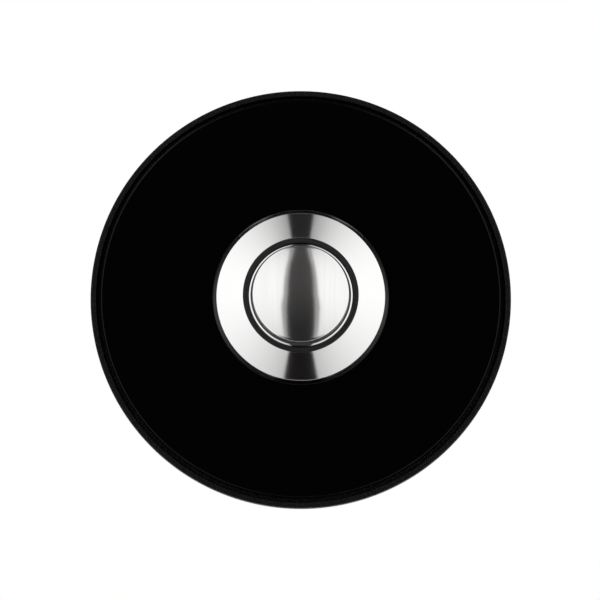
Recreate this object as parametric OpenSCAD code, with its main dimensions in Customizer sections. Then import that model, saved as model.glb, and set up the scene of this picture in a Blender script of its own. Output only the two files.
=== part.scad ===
// Round wall push button: a black rosette with a bevelled stainless momentary switch in its centre.
// Each module is modelled with z = 0 on the wall and z towards the finger; place() turns that
// to the row frame, in which the button faces -Y, +Z is up and the switch barrel runs to +Y.

/* [Rosette] */
// Outer diameter of the rosette ring
rosette_d = 55; // [54.6:0.2:62]
// Height of the ring's lip above the wall
lip_h = 7.3; // [7:0.1:9]
// Width of the lip's flat band with its rounded edges
lip_w = 0.8; // [0.6:0.1:1.2]
// Diameter of the black face plate
face_d = 52.4; // [50:0.2:52.6]
// Thickness of the face plate
face_t = 2; // [1.6:0.1:2.4]
// How far the face plate stands above the lip
face_proud = 0.7; // [0.3:0.1:1.2]

/* [Switch] */
// Outer diameter of the threaded barrel
barrel_d = 19; // [18.6:0.1:19]
// Outer diameter of the switch head
head_d = 23; // [22.6:0.1:24]
// Inner diameter of the conical bezel
bezel_bore_d = 15; // [14.8:0.1:15.2]
// Slope of the cone in degrees
cone_a = 28; // [22:0.5:32]
// Diameter of the pusher's guiding collar
pusher_d = 13.66; // [13.4:0.02:13.66]
// Height of the pusher's edge above the bezel
pusher_proud = 1.3; // [1.2:0.1:2]
// Radius of the pusher's domed face
dome_r = 15; // [12:0.5:25]
// Travel of the pusher
travel = 1.8; // [1:0.1:1.8]
// Length of the barrel behind the wall
barrel_back = 14; // [14:0.5:20]

/* [Wall fixing] */
// Distance between the two wall screws
screw_spacing = 39; // [38.6:0.1:39]
// Diameter of the wall screw holes
screw_hole_d = 3.8; // [3.2:0.1:3.8]
// Width across the flats of the mounting nut
nut_af = 24; // [22:0.5:24]
// Diameter of the bore for each conductor
wire_bore_d = 2.5; // [2:0.1:2.6]

/* [Output] */
// Node to build, or all

/* [Hidden] */
eps = 0.01;
fit = 0.02;
// Running clearance on the radius, for parts that slide
run = 0.06;

// Rosette
ring_r = rosette_d / 2;
lip_in_r = ring_r - lip_w;
lip_edge = 0.2;
wall_in_r = ring_r - 2.9;
foot_r = ring_r - 0.8;
// The side tapers to the wall below this height
taper_z = lip_h - 1.4;
gasket_t = 1;
face_r = face_d / 2;
face_z = lip_h + face_proud;
face_edge = 0.25;
web_t = 1.4;
web_top = face_z - face_t;
web_bottom = web_top - web_t;
barrel_r = barrel_d / 2;
barrel_hole_r = barrel_r + 0.1;

// Wall plate and its set screw
plate_r = wall_in_r - 0.1;
plate_rim_r = plate_r - 1.4;
plate_t = 2.4;
plate_top = web_bottom - 0.1;
plate_bore_r = 14.6;
sink_r = screw_hole_d / 2 + 1.6;
sink_h = 1.6;
grub_r = 1.2;
grub_z = (gasket_t + web_bottom) / 2 + 0.1;
// The screw's outer end lies just under the tapered side, at the hole's lower edge
grub_end = foot_r + (ring_r - foot_r) * (grub_z - grub_r - gasket_t) / (taper_z - gasket_t) - 0.1;
dog_r = 0.9;

// Switch head, from the face plate up
head_r = head_d / 2;
head_gasket_h = 0.4;
seat_z = face_z + head_gasket_h;
rim_z = seat_z + 1;
bezel_r = bezel_bore_d / 2;
break_w = 0.06;
head_chamfer = [0.5, 0.5];
cone_foot_r = head_r - head_chamfer[0];
bezel_z = rim_z + (cone_foot_r - bezel_r - break_w) * tan(cone_a);

// Inside the head
floor_z = seat_z - 1.9;
floor_bottom = seat_z - 4.1;
bore_r = 8.3;
stem_r = 2.5;
seal_wire_r = 0.6;
seal_pocket_r = 3.8;
seal_z = floor_z - 1.2;
seat_t = 0.4;
spring_z = floor_z + seat_t;

// Pusher
pusher_r = pusher_d / 2;
edge_z = bezel_z + pusher_proud;
edge_round = 0.12;
face_rim_r = pusher_r - 0.51;
collar_z = bezel_z - 0.2;
collar_bevel = [0.26, 0.13];
skirt_r = 5.75;
skirt_z = spring_z + travel + 0.1;
cap_under = spring_z + 4.8;
spigot_r = 1.5;
spigot_l = 1.2;

// Clip, contact carrier and bridge
clip_t = 0.6;
clip_z = floor_bottom - 0.65;
carrier_top = clip_z - 0.45;
carrier_x = 2.6;
carrier_y = 3.4;
window_y = 1.75;
window_top = carrier_top - 2.5;
window_h = 3.02;
bar_top = window_top - window_h;
bar_t = 1.28;
bridge_l = 11.4;
bridge_w = 3.3;
bridge_t = 0.4;
bridge_z = bar_top + fit;
contact_x = 4.5;
tip_r = 0.9;
tip_t = 0.5;
contact_gap = travel * 2 / 3 + eps;
fixed_tip_top = bridge_z - tip_t - contact_gap;
blade_top = fixed_tip_top - tip_t;
blade_x = 2;
blade_y = 3;

// Contact block, retaining ring and terminals
block_r = 8.2;
block_top = floor_bottom - 0.1;
cavity_r = 6.9;
cavity_z = bar_top - bar_t - travel - 0.5;
barrel_end = -barrel_back;
groove_r = 8.75;
groove_z = barrel_end + 0.6;
groove_h = 0.75;
block_z = groove_z + groove_h + 0.05;
base_r = 8.8;
base_top = barrel_end - fit;
base_h = 7.98;
base_z = base_top - base_h;
base_spigot_r = 7.2;
clamp_size = [5, 6, 6.2];
clamp_x = 4.4;
clamp_z = base_z + 0.3;
clamp_top = clamp_z + clamp_size[2];
pocket_gap = 0.1;
tail = [1.2, 2];
tail_l = 1.1;
wire_r = wire_bore_d / 2;
wire_y = -0.6;
wire_l = 4.5;
screw_r = 1.25;
screw_z = clamp_z + 2.7;
screw_back = 1.2;
base_screw_y = 5.6;
base_screw_r = 0.95;
base_screw_l = 9.5;

// Nut and washer
washer_t = 0.78;
washer_r = 12.4;
nut_t = 2.95;
nut_top = web_bottom - washer_t - 2 * fit;

$fn = 96;

module place() {
    rotate([90, 0, 0]) children();
}

module tube(outer, inner, z1, z2) {
    translate([0, 0, z1]) difference() {
        cylinder(r = outer, h = z2 - z1);
        translate([0, 0, -1]) cylinder(r = inner, h = z2 - z1 + 2);
    }
}

module block(size, centre_x, centre_y, z1) {
    translate([centre_x - size[0] / 2, centre_y - size[1] / 2, z1]) cube(size);
}

// A spring at rest: flat turns joined by short slanting jogs into one wire
module coil(mean_r, wire_r, turns, z1, z2) {
    pitch = (z2 - z1 - 2 * wire_r) / (turns - 1);
    jog_y = 1.2 * pitch;
    jog_l = sqrt(jog_y * jog_y + pitch * pitch);
    for (i = [0 : turns - 1])
        translate([0, 0, z1 + wire_r + i * pitch])
            rotate_extrude() translate([mean_r, 0]) circle(r = wire_r, $fn = 24);
    for (i = [0 : turns - 2])
        translate([mean_r * (i % 2 == 0 ? 1 : -1), -jog_y / 2, z1 + wire_r + i * pitch])
            rotate([-atan2(jog_y, pitch), 0, 0]) cylinder(r = wire_r * 0.8, h = jog_l, $fn = 24);
}

// ---- Rosette and wall fixing ----

module rosette_ring() {
    color([0.10, 0.10, 0.11]) place() difference() {
        rotate_extrude() union() {
            polygon([
                [wall_in_r, gasket_t],
                [foot_r, gasket_t],
                [ring_r, taper_z],
                [ring_r, lip_h - lip_edge],
                [ring_r - lip_edge, lip_h - lip_edge],
                [ring_r - lip_edge, lip_h],
                [lip_in_r + lip_edge, lip_h],
                [lip_in_r + lip_edge, lip_h - lip_edge],
                [lip_in_r, lip_h - lip_edge],
                [lip_in_r, web_top],
                [barrel_hole_r, web_top],
                [barrel_hole_r, web_bottom],
                [wall_in_r, web_bottom]
            ]);
            translate([ring_r - lip_edge, lip_h - lip_edge]) circle(r = lip_edge);
            translate([lip_in_r + lip_edge, lip_h - lip_edge]) circle(r = lip_edge);
        }
        translate([0, wall_in_r - 1, grub_z]) rotate([-90, 0, 0])
            cylinder(r = grub_r + 0.05, h = 6, $fn = 32);
    }
}

module face_plate() {
    color([0.02, 0.02, 0.02]) place() rotate_extrude() polygon([
        [barrel_hole_r, web_top],
        [face_r, web_top],
        [face_r, face_z - face_edge],
        [face_r - face_edge, face_z],
        [barrel_hole_r, face_z]
    ]);
}

module wall_plate() {
    color([0.72, 0.73, 0.74]) place() difference() {
        union() {
            tube(plate_r, plate_bore_r, 0, plate_t);
            tube(plate_r, plate_rim_r, plate_t - 1, plate_top);
        }
        for (side = [-1, 1]) translate([side * screw_spacing / 2, 0, 0]) {
            translate([0, 0, -1]) cylinder(r = screw_hole_d / 2, h = plate_t + 2, $fn = 48);
            translate([0, 0, plate_t - sink_h])
                cylinder(r1 = screw_hole_d / 2, r2 = sink_r, h = sink_h, $fn = 48);
        }
        translate([0, plate_rim_r - 1, grub_z]) rotate([-90, 0, 0])
            cylinder(r = dog_r + 0.1, h = 4, $fn = 32);
    }
}

module wall_gasket() {
    color([0.16, 0.16, 0.16]) place() tube(foot_r - 0.1, wall_in_r + 0.1, 0, gasket_t);
}

module ring_set_screw() {
    color([0.30, 0.30, 0.31]) place()
        translate([0, grub_end, grub_z]) rotate([90, 0, 0]) difference() {
            union() {
                cylinder(r = grub_r, h = grub_end - wall_in_r - 0.05, $fn = 32);
                cylinder(r = dog_r, h = grub_end - plate_rim_r - 0.25, $fn = 32);
            }
            translate([0, 0, -1]) cylinder(r = 0.73, h = 2.2, $fn = 6);
        }
}

// ---- Fixed parts of the switch ----

module switch_housing() {
    color([0.80, 0.80, 0.80]) place() rotate_extrude() polygon([
        [bezel_r, bezel_z - break_w],
        [bezel_r + break_w, bezel_z],
        [cone_foot_r, rim_z],
        [head_r, rim_z - head_chamfer[1]],
        [head_r, seat_z],
        [barrel_r, seat_z],
        [barrel_r, barrel_end + 0.5],
        [barrel_r - 0.5, barrel_end],
        [bore_r, barrel_end],
        [bore_r, groove_z],
        [groove_r, groove_z],
        [groove_r, groove_z + groove_h],
        [bore_r, groove_z + groove_h],
        [bore_r, floor_bottom],
        [stem_r + 0.05, floor_bottom],
        [stem_r + 0.05, seal_z],
        [seal_pocket_r, seal_z],
        [seal_pocket_r, floor_z],
        [bezel_r, floor_z]
    ]);
}

module head_gasket() {
    color([0.12, 0.12, 0.12]) place() tube(head_r - 0.35, barrel_hole_r, face_z, seat_z);
}

module guide_bush() {
    color([0.14, 0.14, 0.14]) place()
        tube(bezel_r - fit, pusher_r + run, floor_z + fit, bezel_z - 0.15);
}

module stem_seal() {
    color([0.12, 0.12, 0.12]) place() translate([0, 0, seal_z + seal_wire_r + fit])
        rotate_extrude() translate([stem_r + run + seal_wire_r, 0]) circle(r = seal_wire_r);
}

module spring_seat() {
    color([0.70, 0.70, 0.70]) place()
        tube(pusher_r - 0.1, stem_r + 0.2, floor_z + fit, spring_z - fit);
}

module lock_washer() {
    color([0.60, 0.60, 0.58]) place() translate([0, 0, web_bottom - fit - washer_t])
        difference() {
            cylinder(r = washer_r, h = washer_t);
            translate([0, 0, -1]) cylinder(r = barrel_hole_r, h = washer_t + 2);
            for (i = [0 : 17]) rotate([0, 0, i * 20])
                translate([barrel_r, -0.45, -1]) cube([1.7, 0.9, washer_t + 2]);
        }
}

module mounting_nut() {
    color([0.74, 0.73, 0.70]) place() translate([0, 0, nut_top - nut_t])
        difference() {
            intersection() {
                cylinder(r = nut_af / sqrt(3), h = nut_t, $fn = 6);
                translate([0, 0, -nut_t])
                    cylinder(r1 = nut_af / 2 - 1.2, r2 = nut_af / 2 + 3 * nut_t - 1.2, h = 3 * nut_t);
                translate([0, 0, -nut_t])
                    cylinder(r1 = nut_af / 2 + 3 * nut_t - 1.2, r2 = nut_af / 2 - 1.2, h = 3 * nut_t);
            }
            translate([0, 0, -1]) cylinder(r = barrel_r + 0.05, h = nut_t + 2);
        }
}

module contact_block() {
    color([0.10, 0.10, 0.10]) place() difference() {
        translate([0, 0, block_z]) cylinder(r = block_r, h = block_top - block_z);
        translate([0, 0, cavity_z]) cylinder(r = cavity_r, h = block_top - cavity_z + 1);
        for (side = [-1, 1]) {
            block([blade_x + 0.06, blade_y + 0.06, 20], side * contact_x, 0, cavity_z - 19);
            translate([0, side * base_screw_y, block_z - 1])
                cylinder(r = base_screw_r + 0.05, h = 5.5, $fn = 24);
        }
    }
}

module fixed_contacts() {
    color([0.78, 0.62, 0.30]) place() for (side = [-1, 1]) {
        block([blade_x, blade_y, blade_top - clamp_top - fit], side * contact_x, 0,
            clamp_top + fit);
        block([tail[0], tail[1], tail_l + 1], side * contact_x, 0, clamp_top - tail_l + fit);
    }
}

module fixed_tips() {
    color([0.86, 0.86, 0.84]) place() for (side = [-1, 1])
        translate([side * contact_x, 0, blade_top]) cylinder(r = tip_r, h = tip_t, $fn = 32);
}

module block_circlip() {
    color([0.55, 0.55, 0.56]) place() difference() {
        tube(groove_r - 0.05, base_spigot_r + 0.15, groove_z + 0.05, groove_z + groove_h - 0.1);
        translate([-2, 0, groove_z - 1]) cube([4, 12, 4]);
    }
}

module terminal_base() {
    pocket = [clamp_size[0] + 2 * pocket_gap, clamp_size[1] + 2 * pocket_gap,
        clamp_size[2] + pocket_gap + 1.3];
    color([0.13, 0.13, 0.14]) place() difference() {
        union() {
            translate([0, 0, base_z]) cylinder(r = base_r, h = base_h);
            translate([0, 0, base_top - 1]) cylinder(r = base_spigot_r, h = block_z - fit - base_top + 1);
        }
        for (side = [-1, 1]) {
            block(pocket, side * clamp_x, 0, base_z - 1);
            block([blade_x + 0.06, blade_y + 0.06, 10], side * contact_x, 0, clamp_top - 1);
            translate([side * clamp_x, 1, screw_z]) rotate([-90, 0, 0])
                cylinder(r = screw_r + 0.85, h = 10, $fn = 32);
            translate([0, side * base_screw_y, base_z - 1]) {
                cylinder(r = base_screw_r + 0.1, h = 12, $fn = 24);
                cylinder(r = 2.05, h = 2.1, $fn = 32);
            }
        }
    }
}

module terminal_clamps() {
    color([0.80, 0.64, 0.30]) place() for (side = [-1, 1]) difference() {
        block(clamp_size, side * clamp_x, 0, clamp_z);
        block([tail[0] + 0.06, tail[1] + 0.06, tail_l + 1], side * contact_x, 0,
            clamp_top - tail_l);
        translate([side * clamp_x, wire_y, clamp_z - 1]) cylinder(r = wire_r, h = wire_l + 1, $fn = 32);
        translate([side * clamp_x, wire_y, screw_z]) rotate([-90, 0, 0])
            cylinder(r = screw_r + 0.03, h = 6, $fn = 32);
    }
}

module terminal_screws() {
    tip_y = wire_y + wire_r + 0.15;
    head_y = clamp_size[1] / 2 + screw_back;
    color([0.70, 0.71, 0.72]) place() for (side = [-1, 1])
        translate([side * clamp_x, tip_y, screw_z]) rotate([-90, 0, 0]) difference() {
            union() {
                cylinder(r = screw_r, h = head_y - tip_y + 0.1, $fn = 32);
                translate([0, 0, head_y - tip_y]) cylinder(r = screw_r + 0.65, h = 1.4, $fn = 32);
            }
            translate([-3, -0.25, head_y - tip_y + 0.7]) cube([6, 0.5, 2]);
        }
}

module base_screws() {
    color([0.70, 0.71, 0.72]) place() for (side = [-1, 1])
        translate([0, side * base_screw_y, base_z + 0.1]) difference() {
            union() {
                cylinder(r = base_screw_r, h = base_screw_l + 1, $fn = 24);
                cylinder(r = 1.85, h = 0.98, $fn = 32);
            }
            rotate([0, 0, 45]) for (turn = [0, 90]) rotate([0, 0, turn])
                translate([-1.2, -0.2, -1]) cube([2.4, 0.4, 1.5]);
        }
}

// ---- Moving parts ----

module pusher_cap() {
    dome_rim_r = face_rim_r - edge_round;
    apex_z = edge_z + dome_r - sqrt(dome_r * dome_r - dome_rim_r * dome_rim_r);
    color([0.82, 0.82, 0.82]) place() difference() {
        rotate_extrude() difference() {
            union() {
                polygon([
                    [0, skirt_z],
                    [pusher_r, skirt_z],
                    [pusher_r, collar_z - collar_bevel[1]],
                    [pusher_r - collar_bevel[0], collar_z],
                    [face_rim_r, collar_z],
                    [face_rim_r, edge_z - edge_round],
                    [0, edge_z - edge_round]
                ]);
                translate([dome_rim_r, edge_z - edge_round]) circle(r = edge_round);
                intersection() {
                    translate([0, skirt_z]) square([dome_rim_r, apex_z - skirt_z + 1]);
                    translate([0, apex_z - dome_r]) circle(r = dome_r, $fn = 180);
                }
            }
            translate([-1, skirt_z - 1]) square([skirt_r + 1, cap_under - skirt_z + 1]);
            translate([-60, -60]) square([60, 120]);
        }
        translate([0, 0, cap_under - 1]) cylinder(r = spigot_r + fit, h = spigot_l + 1, $fn = 48);
    }
}

module pusher_stem() {
    color([0.72, 0.72, 0.73]) place() rotate_extrude() polygon([
        [0, carrier_top - 2],
        [spigot_r, carrier_top - 2],
        [spigot_r, carrier_top + fit],
        [stem_r, carrier_top + fit],
        [stem_r, clip_z - fit],
        [stem_r - 0.5, clip_z - fit],
        [stem_r - 0.5, clip_z + clip_t + fit],
        [stem_r, clip_z + clip_t + fit],
        [stem_r, cap_under - fit],
        [spigot_r, cap_under - fit],
        [spigot_r, cap_under + spigot_l - 0.05],
        [0, cap_under + spigot_l - 0.05]
    ]);
}

module stem_clip() {
    color([0.42, 0.42, 0.44]) place() difference() {
        tube(4, stem_r - 0.5 + fit, clip_z, clip_z + clip_t);
        translate([-1.6, 0, clip_z - 1]) cube([3.2, 6, 3]);
    }
}

module return_spring() {
    color([0.75, 0.75, 0.76]) place() coil(4.6, 0.35, 4, spring_z + fit, cap_under - fit);
}

module contact_carrier() {
    color([0.88, 0.87, 0.82]) place() difference() {
        union() {
            difference() {
                block([2 * carrier_x, 2 * carrier_y, carrier_top - bar_top + bar_t], 0, 0,
                    bar_top - bar_t);
                block([2 * carrier_x + 2, 2 * window_y, window_h], 0, 0, bar_top);
            }
            translate([0, 0, window_top - 0.6]) cylinder(r = 0.9, h = 1, $fn = 32);
        }
        translate([0, 0, carrier_top - 2.02]) cylinder(r = spigot_r + fit, h = 4, $fn = 48);
    }
}

module contact_spring() {
    color([0.75, 0.75, 0.76]) place()
        coil(1.3, 0.18, 5, bridge_z + bridge_t + fit, window_top - fit);
}

module contact_bridge() {
    color([0.80, 0.50, 0.32]) place() block([bridge_l, bridge_w, bridge_t], 0, 0, bridge_z);
}

module bridge_tips() {
    color([0.86, 0.86, 0.84]) place() for (side = [-1, 1])
        translate([side * contact_x, 0, bridge_z - tip_t]) cylinder(r = tip_r, h = tip_t, $fn = 32);
}

rosette_ring();
face_plate();
wall_plate();
wall_gasket();
ring_set_screw();
switch_housing();
head_gasket();
guide_bush();
stem_seal();
spring_seat();
lock_washer();
mounting_nut();
contact_block();
fixed_contacts();
fixed_tips();
block_circlip();
terminal_base();
terminal_clamps();
terminal_screws();
base_screws();
pusher_cap();
pusher_stem();
stem_clip();
return_spring();
contact_carrier();
contact_spring();
contact_bridge();
bridge_tips();
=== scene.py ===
"""Looks of the round wall push button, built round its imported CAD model.

Lengths are in metres. A turned piece is drawn as a profile of (radius, height) points in millimetres, with
height measured from the wall towards the finger, which is -Y in the frame.
"""

import math

import bmesh
import bpy
from mathutils import Matrix, Vector

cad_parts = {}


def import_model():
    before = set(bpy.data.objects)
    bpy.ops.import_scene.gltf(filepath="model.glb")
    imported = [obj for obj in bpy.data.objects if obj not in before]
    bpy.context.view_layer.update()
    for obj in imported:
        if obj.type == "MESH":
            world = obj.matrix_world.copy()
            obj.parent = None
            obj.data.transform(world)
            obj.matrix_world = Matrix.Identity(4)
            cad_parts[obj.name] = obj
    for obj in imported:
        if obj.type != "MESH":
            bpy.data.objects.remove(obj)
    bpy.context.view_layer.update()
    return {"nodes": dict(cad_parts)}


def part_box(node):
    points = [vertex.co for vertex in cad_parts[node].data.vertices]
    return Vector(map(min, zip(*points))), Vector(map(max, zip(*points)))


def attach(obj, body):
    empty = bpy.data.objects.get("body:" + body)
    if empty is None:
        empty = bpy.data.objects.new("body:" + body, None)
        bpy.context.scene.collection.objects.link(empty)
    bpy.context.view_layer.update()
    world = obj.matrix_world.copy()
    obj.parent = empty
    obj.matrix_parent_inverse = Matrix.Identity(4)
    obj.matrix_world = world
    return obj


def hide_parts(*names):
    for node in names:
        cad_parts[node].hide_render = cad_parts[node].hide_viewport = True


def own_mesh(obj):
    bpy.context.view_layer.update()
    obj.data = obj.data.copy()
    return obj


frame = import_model()

MM = 0.001
SEGMENTS = 256
SHARP_DEG = 40
WELD_M = 1e-6
ON_AXIS = 1e-6


# ---- Sizes, read from the frame ----


def heights(node):
    """Lowest and highest height of a CAD node above the wall, in millimetres."""
    low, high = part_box(node)
    return -high.y / MM, -low.y / MM


def outer_radius(node):
    """Radius of a round CAD node, in millimetres."""
    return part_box(node)[1].x / MM


RING_R = outer_radius("rosette_ring")
FOOT_Z, LIP_Z = heights("rosette_ring")
FACE_R = outer_radius("face_plate")
WEB_Z, FACE_Z = heights("face_plate")
HEAD_R = outer_radius("switch_housing")
BARREL_END, BEZEL_Z = heights("switch_housing")
GASKET_R = outer_radius("head_gasket")
SEAT_Z = heights("head_gasket")[1]
BUSH_R = outer_radius("guide_bush")
BUSH_LOW, BUSH_TOP = heights("guide_bush")
PUSHER_R = outer_radius("pusher_cap")
SKIRT_Z, APEX_Z = heights("pusher_cap")
STEM_TOP = heights("pusher_stem")[1]
NUT_LOW, NUT_TOP = heights("mounting_nut")
NUT_AF = (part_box("mounting_nut")[1].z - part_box("mounting_nut")[0].z) / MM
GRUB_Z = sum(heights("ring_set_screw")) / 2
FOAM_R = outer_radius("wall_gasket")
SEAT_WASHER_TOP = heights("spring_seat")[1]

# Sizes that a node's box doesn't give. They are those of the CAD model, apart from the rounding of edges.
RING_BORE = RING_R - 2.9
WEB_BOTTOM = WEB_Z - 1.4
BARREL_R = 9.5
HOLE_R = BARREL_R + 0.1
RIM_Z = SEAT_Z + 1
HEAD_CHAMFER = 0.5
FIT = 0.02
BEZEL_R = BUSH_R + FIT
FLOOR_Z = BUSH_LOW - FIT
FLOOR_BOTTOM = SEAT_Z - 4.1
BORE_R = 8.3
PUSHER_GAP = 0.06
DOME_R = 15
DOME_ROUND = 0.12
DOME_RIM_R = PUSHER_R - 0.51 - DOME_ROUND
COLLAR_Z = BEZEL_Z - 0.2


# ---- Mesh tools ----


def rounded(points, steps=5):
    """A profile whose corners are rounded. A point is (radius, height) or (radius, height, corner radius)."""
    out = []
    count = len(points)
    for i, point in enumerate(points):
        corner = Vector(point[:2])
        size = point[2] if len(point) > 2 else 0
        if not size:
            out.append(tuple(corner))
            continue
        to_last = (Vector(points[i - 1][:2]) - corner).normalized()
        to_next = (Vector(points[(i + 1) % count][:2]) - corner).normalized()
        half = to_last.angle(to_next) / 2
        reach = size / math.tan(half)
        middle = corner + (to_last + to_next).normalized() * size / math.sin(half)
        start = corner + to_last * reach - middle
        end = corner + to_next * reach - middle
        sweep = start.angle_signed(end)
        for step in range(steps + 1):
            angle = -sweep * step / steps
            turned = Vector((
                start.x * math.cos(angle) - start.y * math.sin(angle),
                start.x * math.sin(angle) + start.y * math.cos(angle),
            ))
            out.append(tuple(middle + turned))
    return out


def place(radius, angle, height):
    """A point of a turned piece in the frame."""
    return Vector((radius * math.cos(angle), -height, radius * math.sin(angle))) * MM


def ring_of(bm, radius, height, segments=SEGMENTS):
    """One ring of vertices, or the same single vertex all round on the axis."""
    if radius < ON_AXIS:
        return [bm.verts.new(place(0, 0, height))] * segments
    return [bm.verts.new(place(radius, math.tau * i / segments, height)) for i in range(segments)]


def skin(bm, rings, closed):
    """Faces between neighbouring rings of vertices."""
    pairs = list(zip(rings, rings[1:]))
    if closed:
        pairs.append((rings[-1], rings[0]))
    for first, second in pairs:
        for i in range(len(first)):
            j = (i + 1) % len(first)
            corners = []
            for vert in (first[i], first[j], second[j], second[i]):
                if vert not in corners:
                    corners.append(vert)
            if len(corners) > 2:
                bm.faces.new(corners)


def finish_mesh(bm, name, sharp_deg=SHARP_DEG):
    """A smooth-shaded object from a bmesh."""
    bmesh.ops.remove_doubles(bm, verts=bm.verts, dist=WELD_M / 10)
    bmesh.ops.recalc_face_normals(bm, faces=bm.faces)
    mesh = bpy.data.meshes.new(name)
    bm.to_mesh(mesh)
    bm.free()
    mesh.shade_smooth()
    mesh.set_sharp_from_angle(angle=math.radians(sharp_deg))
    obj = bpy.data.objects.new(name, mesh)
    bpy.context.scene.collection.objects.link(obj)
    return obj


def lathe(name, profile, closed=True, segments=SEGMENTS):
    """A turned piece from its profile."""
    bm = bmesh.new()
    rings = [ring_of(bm, max(r, 0), z, segments) for r, z in profile]
    skin(bm, rings, closed)
    return finish_mesh(bm, name)


def flat_ring(name, inner, outer, low, high, inner_round, low_round, high_round):
    """A flat ring between two radii and two heights. Its two outer edges have their own roundings."""
    return lathe(name, rounded([
        (inner, low, inner_round),
        (outer, low, low_round),
        (outer, high, high_round),
        (inner, high, inner_round),
    ]))


def cut(obj, cutter):
    """Takes the cutter out of obj, and removes it."""
    modifier = obj.modifiers.new("cut", "BOOLEAN")
    modifier.object = cutter
    modifier.solver = "EXACT"
    graph = bpy.context.evaluated_depsgraph_get()
    mesh = bpy.data.meshes.new_from_object(obj.evaluated_get(graph), depsgraph=graph)
    obj.modifiers.clear()
    obj.data = mesh
    bpy.data.objects.remove(cutter)
    mesh.shade_smooth()
    mesh.set_sharp_from_angle(angle=math.radians(SHARP_DEG))


def radial_cutter(radius, near, far, height):
    """A rod that points up, from near to far from the axis, at a height above the wall."""
    rod = lathe("cutter", [(0, near), (radius, near), (radius, far), (0, far)], False, 48)
    rod.data.transform(Matrix.Rotation(math.radians(-90), 4, "X"))
    rod.data.transform(Matrix.Translation((0, -height * MM, 0)))
    return rod


def even_normals(obj):
    """Keeps flat faces flat in the shading, beside their small roundings."""
    modifier = obj.modifiers.new("normals", "WEIGHTED_NORMAL")
    modifier.keep_sharp = True


def show(obj, body, material, node):
    """Gives a new piece its body and material, in place of its CAD node."""
    obj.data.materials.clear()
    obj.data.materials.append(material)
    even_normals(obj)
    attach(obj, body)
    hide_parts(node)
    return obj


def dress(node, material):
    """Gives a CAD node its material and soft edges."""
    obj = frame["nodes"][node]
    obj.data.materials.clear()
    obj.data.materials.append(material)
    weld = obj.modifiers.new("weld", "WELD")
    weld.merge_threshold = WELD_M
    bevel = obj.modifiers.new("bevel", "BEVEL")
    bevel.width = 0.06 * MM
    bevel.segments = 2
    bevel.limit_method = "ANGLE"
    bevel.angle_limit = math.radians(SHARP_DEG)
    even_normals(obj)


# ---- Materials ----


class Nodes:
    """Short ways to add nodes to a node tree."""

    def __init__(self, tree):
        self.tree = tree

    def plug(self, socket, value):
        """Links a node's output to a socket, or gives the socket a value. A colour has three numbers."""
        if isinstance(value, bpy.types.NodeSocket):
            self.tree.links.new(value, socket)
        elif socket.type == "RGBA":
            socket.default_value = (*value, 1)
        else:
            socket.default_value = value

    def add(self, kind, settings=None, **inputs):
        """A new node with its settings and inputs. An underscore stands for a space in an input's name."""
        node = self.tree.nodes.new("ShaderNode" + kind)
        for key, value in (settings or {}).items():
            setattr(node, key, value)
        for key, value in inputs.items():
            self.plug(node.inputs[key.replace("_", " ")], value)
        return node

    def math(self, kind, first, second=0.0):
        node = self.add("Math", {"operation": kind})
        self.plug(node.inputs[0], first)
        self.plug(node.inputs[1], second)
        return node.outputs[0]

    def remap(self, value, start, end, low, high, **settings):
        """Maps a value from start to end to low to high."""
        limits = {"From_Min": start, "From_Max": end, "To_Min": low, "To_Max": high}
        return self.add("MapRange", settings, Value=value, **limits).outputs["Result"]

    def mix(self, factor, first, second):
        """Colour that runs from first to second as the factor goes from 0 to 1."""
        return self.add("Mix", {"data_type": "RGBA"}, Factor=factor, A=first, B=second).outputs["Result"]


class Shader(Nodes):
    """A material with a Principled surface, whose inputs are given by name."""

    def __init__(self, name, **inputs):
        self.material = bpy.data.materials.new(name)
        self.material.use_nodes = True
        super().__init__(self.material.node_tree)
        self.surface = self.tree.nodes["Principled BSDF"]
        self.coords = self.add("TexCoord").outputs["Object"]
        self.set(**inputs)

    def set(self, **inputs):
        """Sets inputs of the surface. An underscore stands for a space in an input's name."""
        for key, value in inputs.items():
            self.plug(self.surface.inputs[key.replace("_", " ")], value)

    def split(self):
        """X, Y and Z of the coordinates, as outputs."""
        return self.add("SeparateXYZ", Vector=self.coords).outputs

    def radius(self):
        """Distance from the button's axis."""
        split = self.split()
        squares = [self.math("MULTIPLY", split[axis], split[axis]) for axis in ("X", "Z")]
        return self.math("SQRT", self.math("ADD", *squares))

    def stretch(self, x, y, z):
        """Object coordinates scaled by x, y and z."""
        return self.add("Mapping", Vector=self.coords, Scale=(x, y, z)).outputs["Vector"]

    def noise(self, vector, scale, detail=2.0, rough=0.5):
        node = self.add("TexNoise", Vector=vector, Scale=scale, Detail=detail, Roughness=rough)
        return node.outputs["Fac"]

    def cells(self, vector, scale):
        settings = {"feature": "SMOOTH_F1"}
        return self.add("TexVoronoi", settings, Vector=vector, Scale=scale).outputs["Distance"]

    def span(self, value, low, high):
        """Maps a value of about 0.3 to 0.7, as noise gives, to low to high."""
        return self.remap(value, 0.3, 0.7, low, high)

    def bump(self, height, depth_mm, strength=1.0):
        node = self.add("Bump", Height=height, Strength=strength, Distance=depth_mm * MM)
        self.set(Normal=node.outputs["Normal"])

    def tint(self, value, dark, light):
        """Base colour that runs from dark to light with a noise value."""
        self.set(Base_Color=self.mix(self.span(value, 0, 1), dark, light))


STEEL_WARMTH = 0.004


def grey(value, warmth=0.0):
    """A grey whose red is raised and blue lowered by the warmth."""
    return (value * (1 + warmth), value, value * (1 - warmth))


def powder_coat():
    """Textured black coating: rounded grains, paler and smoother on top."""
    s = Shader("powder_coat_black", IOR=1.23)
    grain = s.noise(s.coords, 4200, 2.5, 0.6)
    pebble = s.cells(s.coords, 3000)
    s.tint(grain, grey(0.0005), grey(0.003))
    s.set(Roughness=s.span(grain, 0.36, 0.20))
    s.bump(s.math("ADD", grain, s.math("MULTIPLY", pebble, 0.6)), 0.08)
    return s.material


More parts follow.
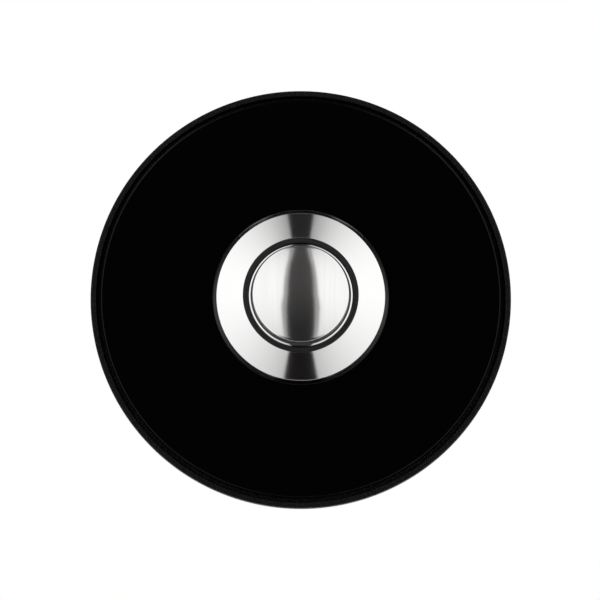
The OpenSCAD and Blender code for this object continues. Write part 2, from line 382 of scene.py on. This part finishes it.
def deep_black():
    """Smooth black with faint changes of gloss."""
    s = Shader("face_deep_black", Base_Color=grey(0.0004), IOR=1.2)
    s.set(Roughness=s.span(s.noise(s.coords, 900, 3), 0.05, 0.09))
    return s.material


def turned_steel():
    """Fine circular turning lines, which blur reflections along the radius."""
    s = Shader("stainless_turned", Metallic=1.0)
    split = s.split()
    outward = s.add("CombineXYZ", X=split["X"], Z=split["Z"]).outputs[0]
    turning = s.add("CombineXYZ", X=s.math("MULTIPLY", s.radius(), 9000)).outputs[0]
    lines = s.noise(turning, 1.0, 3, 0.7)
    s.tint(lines, grey(0.59, STEEL_WARMTH), grey(0.615, STEEL_WARMTH))
    s.set(Roughness=s.span(lines, 0.09, 0.12), Anisotropic=0.4, Tangent=outward)
    s.bump(lines, 0.001, 0.4)
    return s.material


def brushed_steel():
    """Upright brushing, which blurs reflections sideways."""
    s = Shader("stainless_brushed", Metallic=1.0)
    hair = s.noise(s.stretch(12000, 250, 250), 1.0, 3, 0.6)
    band = s.noise(s.stretch(2500, 100, 100), 1.0)
    s.tint(band, grey(0.555, STEEL_WARMTH), grey(0.575, STEEL_WARMTH))
    s.set(Roughness=s.span(hair, 0.085, 0.11), Anisotropic=0.6, Tangent=(1.0, 0.0, 0.0))
    s.bump(hair, 0.001, 0.3)
    return s.material


def metal(name, dark, light, roughness, grain=2500):
    """Plated or plain metal, mottled from dark and rough to light and smooth."""
    s = Shader(name, Metallic=1.0)
    mottle = s.noise(s.coords, grain, 3)
    s.tint(mottle, dark, light)
    s.set(Roughness=s.span(mottle, roughness * 1.25, roughness * 0.8))
    s.bump(s.noise(s.coords, grain * 3), 0.002, 0.4)
    return s.material


def rubber(name, color, roughness=0.55):
    """Black rubber with a pale bloom."""
    s = Shader(name, Roughness=roughness)
    bloom = s.noise(s.coords, 1200, 3)
    s.tint(bloom, grey(color * 0.8), grey(color * 1.3))
    s.bump(s.noise(s.coords, 5000), 0.01, 0.4)
    return s.material


def foam():
    """Foam with open pores."""
    s = Shader("foam_rubber", Roughness=0.85)
    pores = s.cells(s.coords, 2600)
    s.tint(pores, grey(0.015), grey(0.05))
    s.bump(pores, 0.15, 0.8)
    return s.material


def moulded(name, color, roughness=0.45, grain_mm=0.008):
    """Moulded plastic with a spark-eroded grain and faint flow marks."""
    s = Shader(name)
    flow = s.noise(s.coords, 250, 3)
    s.tint(flow, tuple(c * 0.88 for c in color), tuple(c * 1.1 for c in color))
    s.set(Roughness=s.span(flow, roughness * 1.1, roughness * 0.9))
    s.bump(s.noise(s.coords, 6000), grain_mm, 0.5)
    return s.material


ZINC = metal("zinc_plate", (0.50, 0.52, 0.55), (0.62, 0.64, 0.66), 0.32, 1600)
NICKEL = metal("nickel_plate", (0.60, 0.57, 0.52), (0.68, 0.65, 0.60), 0.20, 1800)
BRASS = metal("brass", (0.62, 0.44, 0.17), (0.74, 0.55, 0.24), 0.26)
COPPER = metal("copper_alloy", (0.64, 0.36, 0.22), (0.76, 0.46, 0.30), 0.26)
SILVER = metal("silver_tip", (0.70, 0.69, 0.66), (0.82, 0.81, 0.79), 0.24)
SPRING = metal("spring_steel", (0.46, 0.46, 0.47), (0.58, 0.58, 0.59), 0.26)
STEM = metal("ground_steel", (0.48, 0.48, 0.49), (0.56, 0.56, 0.57), 0.18)
OXIDE = metal("black_oxide", (0.05, 0.05, 0.055), (0.10, 0.10, 0.105), 0.35)
POWDER = powder_coat()
BLACK = deep_black()
TURNED = turned_steel()
BRUSHED = brushed_steel()
GASKET = rubber("gasket_rubber", 0.025, 0.38)
SEAL = rubber("seal_rubber", 0.02)
FOAM = foam()
BUSH = moulded("bush_plastic", grey(0.004), 0.35, 0.03)
BLOCK = moulded("block_plastic", grey(0.022))
BASE = moulded("base_plastic", (0.040, 0.041, 0.045))
NYLON = moulded("natural_nylon", (0.74, 0.71, 0.62), 0.4)


# ---- Rosette ----


def rosette_ring():
    foot_r = RING_R - 0.8
    taper_z = LIP_Z - 1.4
    lip_in = RING_R - 0.8
    lip_edge = 0.2
    ring = lathe("rosette_ring", rounded([
        (RING_BORE, FOOT_Z, 0.15),
        (foot_r, FOOT_Z, 0.2),
        (RING_R, taper_z, 1.0),
        (RING_R, LIP_Z, lip_edge),
        (lip_in, LIP_Z, lip_edge),
        (lip_in, WEB_Z, 0.1),
        (HOLE_R, WEB_Z, 0.1),
        (HOLE_R, WEB_BOTTOM, 0.1),
        (RING_BORE, WEB_BOTTOM, 0.3),
    ]))
    grub_hole_r = 1.25
    cut(ring, radial_cutter(grub_hole_r, RING_BORE - 1, RING_R + 1, GRUB_Z))
    show(ring, "rosette", POWDER, "rosette_ring")


def face_plate():
    plate = flat_ring("face_plate", HOLE_R, FACE_R, WEB_Z, FACE_Z, 0.05, 0.1, 0.25)
    show(plate, "rosette", BLACK, "face_plate")


def wall_gasket():
    gasket = flat_ring("wall_gasket", RING_BORE + 0.1, FOAM_R, 0, FOOT_Z, 0.1, 0.2, 0.2)
    show(gasket, "rosette", FOAM, "wall_gasket")


# ---- Switch ----


def thread_rings(bm, major, depth, pitch, low, high):
    """A screw thread as rows that climb one pitch a turn, each joined to the next.

    The rows run along both edges of the crest and of the root: each has its place, in pitches, and its height
    above the root. The thread fades out at both ends.
    """
    crest = [(0.0, depth), (0.15, depth)]
    root = [(0.45, 0), (0.60, 0)]
    fade = 1.2 * pitch
    rows = []
    for turn in range(int((high - low) / pitch) + 3):
        for shift, stand in crest + root:
            row = []
            for i in range(SEGMENTS + 1):
                climb = (turn + shift + i / SEGMENTS - 1) * pitch
                height = min(max(low + climb, low), high)
                edge = min(1, (height - low) / fade, (high - height) / fade)
                radius = major - depth + stand * edge
                row.append(bm.verts.new(place(radius, math.tau * i / SEGMENTS, height)))
            rows.append(row)
    for first, second in zip(rows, rows[1:]):
        for i in range(SEGMENTS):
            corners = (first[i], first[i + 1], second[i + 1], second[i])
            spots = {tuple(round(c / MM, 5) for c in v.co) for v in corners}
            if len(spots) > 2:
                bm.faces.new(corners)


def switch_housing():
    """The head with its conical bezel, the floor that guides the stem, and the threaded barrel."""
    depth = 0.61
    root = BARREL_R - depth
    thread_low = BARREL_END + 0.45
    thread_high = WEB_BOTTOM + 1.6
    groove = BARREL_END + 0.6
    groove_top = groove + 0.75
    groove_r = 8.75
    seal_r = 3.8
    seal_z = FLOOR_Z - 1.2
    stem_hole_r = 2.55
    lip_break = 0.06
    profile = rounded([
        (root, thread_high),
        (BARREL_R, thread_high + 0.5),
        (BARREL_R, SEAT_Z),
        (HEAD_R, SEAT_Z, 0.06),
        (HEAD_R, RIM_Z - HEAD_CHAMFER, 0.1),
        (HEAD_R - HEAD_CHAMFER, RIM_Z, 0.15),
        (BEZEL_R + lip_break, BEZEL_Z, 0.015),
        (BEZEL_R, BEZEL_Z - lip_break, 0.03),
        (BEZEL_R, FLOOR_Z),
        (seal_r, FLOOR_Z, 0.05),
        (seal_r, seal_z),
        (stem_hole_r, seal_z, 0.05),
        (stem_hole_r, FLOOR_BOTTOM, 0.05),
        (BORE_R, FLOOR_BOTTOM, 0.2),
        (BORE_R, groove_top),
        (groove_r, groove_top),
        (groove_r, groove),
        (BORE_R, groove),
        (BORE_R, BARREL_END, 0.08),
        (root - 0.15, BARREL_END, 0.05),
        (root, thread_low),
    ])
    bm = bmesh.new()
    rings = [ring_of(bm, r, z) for r, z in profile]
    skin(bm, rings, False)
    thread_rings(bm, BARREL_R, depth, 1.0, thread_low, thread_high)
    housing = finish_mesh(bm, "switch_housing", 30)
    show(housing, "rosette", TURNED, "switch_housing")


def head_gasket():
    gasket = flat_ring("head_gasket", HOLE_R, GASKET_R, FACE_Z, SEAT_Z, 0.05, 0.1, 0.1)
    show(gasket, "rosette", GASKET, "head_gasket")


def guide_bush():
    bush = lathe("guide_bush", rounded([
        (PUSHER_R + PUSHER_GAP, BUSH_LOW, 0.05),
        (BUSH_R, BUSH_LOW, 0.05),
        (BUSH_R, BUSH_TOP, 0.1),
        (PUSHER_R + PUSHER_GAP, BUSH_TOP, 0.12),
    ]))
    show(bush, "rosette", BUSH, "guide_bush")


def mounting_nut():
    segments = 252
    slope = math.tan(math.radians(30))
    bore = BARREL_R + 0.05
    bore_chamfer = 0.4
    flat = NUT_AF / 2
    shoulder = flat - 0.2
    edge = 0.12
    soften = 0.03

    def corner_radius(i, inset):
        """Radius of the inset hexagon, flats facing up and down, at one of the steps round it."""
        turn = (math.tau * i / segments) % (math.pi / 3) - math.pi / 6
        return (flat - inset) / math.cos(turn)

    def hex_ring(bm, height, side, inset):
        """A ring on the hexagon that dips towards its corners. Side is 1 on top and -1 underneath."""
        ring = []
        for i in range(segments):
            radius = corner_radius(i, inset)
            dip = (radius - shoulder) * slope
            ring.append(bm.verts.new(place(radius, math.tau * i / segments, height - side * dip)))
        return ring

    bm = bmesh.new()
    rings = [
        ring_of(bm, bore, NUT_LOW + bore_chamfer, segments),
        ring_of(bm, bore + bore_chamfer, NUT_LOW, segments),
        ring_of(bm, shoulder - edge, NUT_LOW, segments),
        ring_of(bm, shoulder, NUT_LOW + soften, segments),
        hex_ring(bm, NUT_LOW, -1, edge / 2),
        hex_ring(bm, NUT_LOW + edge, -1, 0),
        hex_ring(bm, NUT_TOP - edge, 1, 0),
        hex_ring(bm, NUT_TOP, 1, edge / 2),
        ring_of(bm, shoulder, NUT_TOP - soften, segments),
        ring_of(bm, shoulder - edge, NUT_TOP, segments),
        ring_of(bm, bore + bore_chamfer, NUT_TOP, segments),
        ring_of(bm, bore, NUT_TOP - bore_chamfer, segments),
    ]
    skin(bm, rings, True)
    show(finish_mesh(bm, "mounting_nut", 25), "rosette", NICKEL, "mounting_nut")


def dome_z(radius):
    """Height of the pusher's dome at a radius."""
    return APEX_Z - DOME_R + math.sqrt(DOME_R ** 2 - radius ** 2)


def pusher_cap():
    under = SEAT_WASHER_TOP + FIT + 4.8
    socket_r = 1.52
    socket_top = STEM_TOP + 0.05
    skirt_in = 5.75
    neck_r = DOME_RIM_R + DOME_ROUND
    profile = rounded([
        (0, socket_top),
        (socket_r, socket_top),
        (socket_r, under),
        (skirt_in, under, 0.3),
        (skirt_in, SKIRT_Z, 0.1),
        (PUSHER_R, SKIRT_Z, 0.1),
        (PUSHER_R, COLLAR_Z - 0.13, 0.08),
        (PUSHER_R - 0.26, COLLAR_Z, 0.04),
        (neck_r, COLLAR_Z, 0.04),
    ])
    round_middle = dome_z(DOME_RIM_R) - DOME_ROUND
    sweep = math.pi / 2 - math.asin(DOME_RIM_R / DOME_R)
    steps = 8
    for i in range(steps + 1):
        angle = sweep * i / steps
        profile.append((
            DOME_RIM_R + DOME_ROUND * math.cos(angle),
            round_middle + DOME_ROUND * math.sin(angle),
        ))
    steps = 32
    for i in range(steps + 1):
        radius = DOME_RIM_R * (1 - i / steps)
        profile.append((radius, dome_z(radius)))
    cap = lathe("pusher_cap", profile, False)
    show(cap, "pusher", BRUSHED, "pusher_cap")


def coil(name, mean_r, wire_r, turns, low, high):
    """A compression spring with closed ends."""
    per_turn = 48
    around = 12
    closed_turns = 0.9
    wire_d = 2 * wire_r
    rise = high - low - wire_d

    def climb(t):
        """Rise of the wire's middle after t turns."""
        if t < closed_turns:
            return wire_d * t
        if t > turns - closed_turns:
            return rise - wire_d * (turns - t)
        end_rise = wire_d * closed_turns
        return end_rise + (rise - 2 * end_rise) * (t - closed_turns) / (turns - 2 * closed_turns)

    bm = bmesh.new()
    rows = []
    for step in range(round(turns * per_turn) + 1):
        t = step / per_turn
        middle = low + wire_r + climb(t)
        row = []
        for k in range(around):
            angle = math.tau * k / around
            row.append(bm.verts.new(place(
                mean_r + wire_r * math.cos(angle),
                math.tau * t,
                middle + wire_r * math.sin(angle),
            )))
        rows.append(row)
    skin(bm, rows, False)
    bm.faces.new(rows[0])
    bm.faces.new(rows[-1])
    return finish_mesh(bm, name)


def spring(node, mean_r, wire_r, turns, body):
    """A coiled spring on its body, with a mesh of its own."""
    low, high = heights(node)
    piece = show(coil(node, mean_r, wire_r, turns, low, high), body, SPRING, node)
    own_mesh(piece)


def springs():
    spring("return_spring", 4.6, 0.35, 5.5, "rosette")
    spring("contact_spring", 1.3, 0.18, 6, "pusher")


def carried_over():
    """CAD nodes that keep their own shape."""
    for node, material in (
        ("wall_plate", ZINC), ("ring_set_screw", OXIDE), ("stem_seal", SEAL),
        ("spring_seat", SPRING), ("lock_washer", SPRING),
        ("contact_block", BLOCK), ("fixed_contacts", BRASS), ("fixed_tips", SILVER),
        ("block_circlip", SPRING), ("terminal_base", BASE), ("terminal_clamps", BRASS),
        ("terminal_screws", ZINC), ("base_screws", ZINC), ("pusher_stem", STEM),
        ("stem_clip", OXIDE), ("contact_carrier", NYLON), ("contact_bridge", COPPER),
        ("bridge_tips", SILVER),
    ):
        dress(node, material)


# ---- Stage ----


def world():
    """Dark surroundings in front, faintly lit sides and a pale back. The camera itself sees white."""
    studio = bpy.data.worlds.new("studio")
    bpy.context.scene.world = studio
    studio.use_nodes = True
    studio.node_tree.nodes.clear()
    n = Nodes(studio.node_tree)
    view = n.add("SeparateXYZ", Vector=n.add("TexCoord").outputs["Generated"]).outputs
    near = n.remap(view["Y"], -0.45, -0.10, 1.0, 0.1)
    front = n.mix(near, (0, 0, 0), (0.0150, 0.0138, 0.0134))
    sideways = n.math("POWER", n.math("ABSOLUTE", view["X"]), 4.0)
    sides = n.mix(sideways, front, (0.065, 0.064, 0.062))
    behind = n.remap(view["Y"], 0.45, 0.9, 0.0, 1.0, interpolation_type="SMOOTHSTEP")
    reflected = n.add("Background", Color=n.mix(behind, sides, (0.55, 0.56, 0.58)))
    white = n.add("Background", Color=(1, 1, 1))
    choose = n.add("MixShader", Fac=n.add("LightPath").outputs["Is Camera Ray"])
    n.plug(choose.inputs[1], reflected.outputs[0])
    n.plug(choose.inputs[2], white.outputs[0])
    n.add("OutputWorld", Surface=choose.outputs[0])


def glow(name, color=(1, 1, 1), **inputs):
    """A light panel's shader."""
    return Shader(name, Base_Color=(0, 0, 0), Roughness=1.0, Emission_Color=color, **inputs)


def stage_mesh(name, points, faces, material):
    """An object that isn't part of the button."""
    mesh = bpy.data.meshes.new(name)
    mesh.from_pydata(points, [], faces)
    mesh.materials.append(material)
    obj = bpy.data.objects.new(name, mesh)
    bpy.context.scene.collection.objects.link(obj)
    return obj


def softbox(name, azimuth, elevation, distance, width, height, radiance, fade=None):
    """A glowing panel facing the button. Azimuth 0 is in front of it and 90 to the right.

    With a fade, it is brightest at one height and dims above and below it: (height, spread) in metres.
    """
    a = math.radians(azimuth)
    e = math.radians(elevation)
    away = Vector((math.sin(a) * math.cos(e), -math.cos(a) * math.cos(e), math.sin(e)))
    side = Vector((math.cos(a), math.sin(a), 0)) * width / 2
    up = side.cross(away).normalized() * height / 2
    corners = [away * distance + side * i + up * k for i, k in ((-1, -1), (1, -1), (1, 1), (-1, 1))]
    s = glow(name, Emission_Strength=radiance)
    if fade:
        peak, spread = fade
        off = s.math("DIVIDE", s.math("SUBTRACT", s.split()["Z"], peak), spread)
        dimming = s.math("EXPONENT", s.math("MULTIPLY", s.math("MULTIPLY", off, off), -1.0))
        s.set(Emission_Strength=s.math("MULTIPLY", dimming, radiance))
    stage_mesh(name, corners, [(0, 1, 2, 3)], s.material).visible_camera = False


def front_card(name, rows, dim, lit):
    """Card in front of the button, the same on both sides of its middle.

    A row is an elevation and the azimuths of the card's inner and outer edges there, in degrees. The card's
    glow runs from dim at its foot to lit at its top.
    """
    distance = 0.7
    foot = -0.33
    top = 0.22

    def corner(azimuth, elevation):
        return Vector((math.tan(math.radians(azimuth)), -1, math.tan(math.radians(elevation)))) * distance

    points = []
    faces = []
    for side in (-1, 1):
        start = len(points)
        for elevation, inner, outer in rows:
            points += [corner(side * inner, elevation), corner(side * outer, elevation)]
        faces += [(i, i + 1, i + 3, i + 2) for i in range(start, len(points) - 2, 2)]
    s = glow(name, (1, 0.97, 0.96), IOR=1.0)
    s.set(Emission_Strength=s.remap(s.split()["Z"], foot, top, dim, lit))
    stage_mesh(name, points, faces, s.material).visible_camera = False


def camera_stand():
    """Dark stand round the camera and the half-lit cloth beside it, seen in the polished pusher."""
    rows = [
        (55, 9.0, 14.3),
        (45, 10.5, 15.2),
        (35, 12.2, 16.2),
        (20, 12.8, 17.0),
        (6, 12.8, 17.3),
        (-6.5, 14.0, 19.3),
        (-39, 15.6, 20.0),
    ]
    front_card("stand_dark", [(elevation, 0, inner) for elevation, inner, outer in rows], 0.036, 0.086)
    front_card("stand_cloth", rows, 0.55, 0.55)


def lights():
    """Tall panels at both sides of the camera, thin strips above and below, and two panels behind."""
    softbox("upper_strip", 0, 73, 0.5, 0.8, 0.03, 2.6)
    softbox("lower_strip", 0, -66, 0.5, 0.8, 0.08, 2.6)
    for side in (-1, 1):
        softbox(f"softbox_{side}", side * 43, 0, 0.8, 0.84, 4.4, 1.65, (0.2, 1.45))
        softbox(f"rear_box_{side}", side * 135, 35, 1.0, 0.8, 0.8, 1.6)


def floor():
    """Pale floor that glows by itself, and neither lights the button nor shows in it."""
    size = 4.0
    height = -0.25
    corners = [(-size, -size, height), (size, -size, height), (size, size, height), (-size, size, height)]
    s = Shader("floor_pale", Base_Color=grey(0.02), Roughness=0.9, Emission_Color=(1, 1, 1), IOR=1.0)
    s.set(Emission_Strength=s.span(s.noise(s.coords, 30, 3), 0.79, 0.83))
    plane = stage_mesh("floor", corners, [(0, 1, 2, 3)], s.material)
    plane.visible_glossy = False
    plane.visible_diffuse = False


def camera():
    """Long lens a little below the axis. Its field is set by the ring's radius."""
    distance = 1.2
    below = math.radians(7.4)
    field_in_radii = 1.4265
    cam = bpy.data.cameras.new("camera")
    cam.sensor_width = 36
    cam.lens = cam.sensor_width / 2 * distance / (field_in_radii * RING_R * MM)
    cam.clip_start = 0.01
    obj = bpy.data.objects.new("camera", cam)
    aim = Vector((-0.1, -LIP_Z, -0.16)) * MM
    away = Vector((0, -math.cos(below), -math.sin(below)))
    obj.location = aim + away * distance
    obj.rotation_mode = "QUATERNION"
    obj.rotation_quaternion = away.to_track_quat("Z", "Y")
    bpy.context.scene.collection.objects.link(obj)
    bpy.context.scene.camera = obj


rosette_ring()
face_plate()
wall_gasket()
switch_housing()
head_gasket()
guide_bush()
mounting_nut()
pusher_cap()
springs()
carried_over()
world()
camera_stand()
lights()
floor()
camera()
bpy.context.scene.view_settings.view_transform = "Standard"
